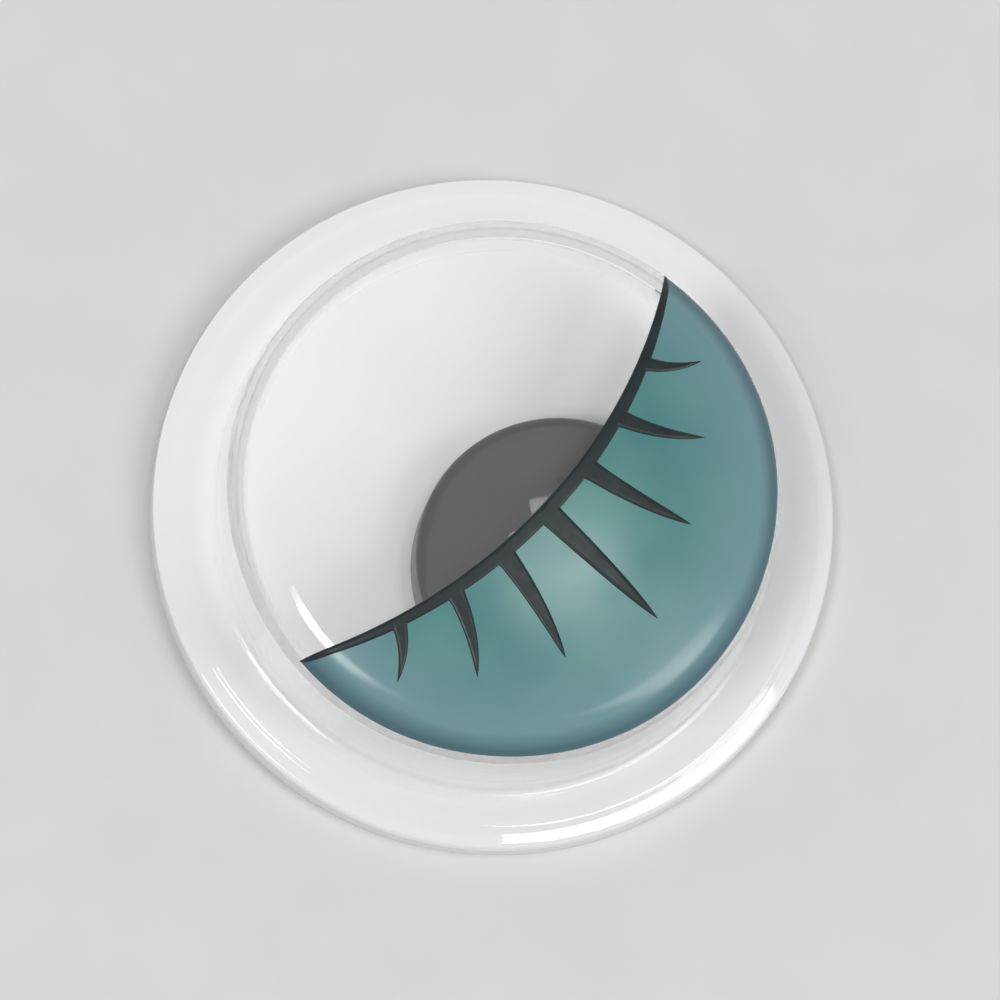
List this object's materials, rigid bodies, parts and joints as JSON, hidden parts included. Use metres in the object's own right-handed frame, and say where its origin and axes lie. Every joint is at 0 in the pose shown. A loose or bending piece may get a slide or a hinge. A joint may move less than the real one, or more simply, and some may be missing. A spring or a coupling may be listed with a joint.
{
  "type": "googly eye",
  "caption": "Round craft eye: white plate, clear flanged dome with a loose black pupil shut inside, teal eyelid and lashes printed on the dome.",
  "frame": {"origin": "middle of the flat back face of the plate", "axes": "+Z out through the dome, +Y from the middle of the eye towards the printed lid"},
  "size_m": [0.01, 0.01, 0.0031],
  "materials": {
    "plate_white": "satin white sheet",
    "film_clear": "clear, glossy, slightly wavy from forming",
    "pupil_black": "half-gloss black",
    "ink_teal": "printed ink, glossy, lets a little light through",
    "ink_black": "printed ink, glossy"
  },
  "bodies": {
    "capsule": {"back_plate": "plate_white", "clear_dome": "film_clear", "eyelid_print": "ink_teal", "lash_print": "ink_black"},
    "loose_pupil": {"pupil": "pupil_black"}
  },
  "joints": [
    {"name": "pupil_orbit", "type": "hinge", "parent": "capsule", "child": "loose_pupil", "pos_m": [0, 0, 0.0009], "axis": [0, 0, 1], "continuous": true}
  ]
}
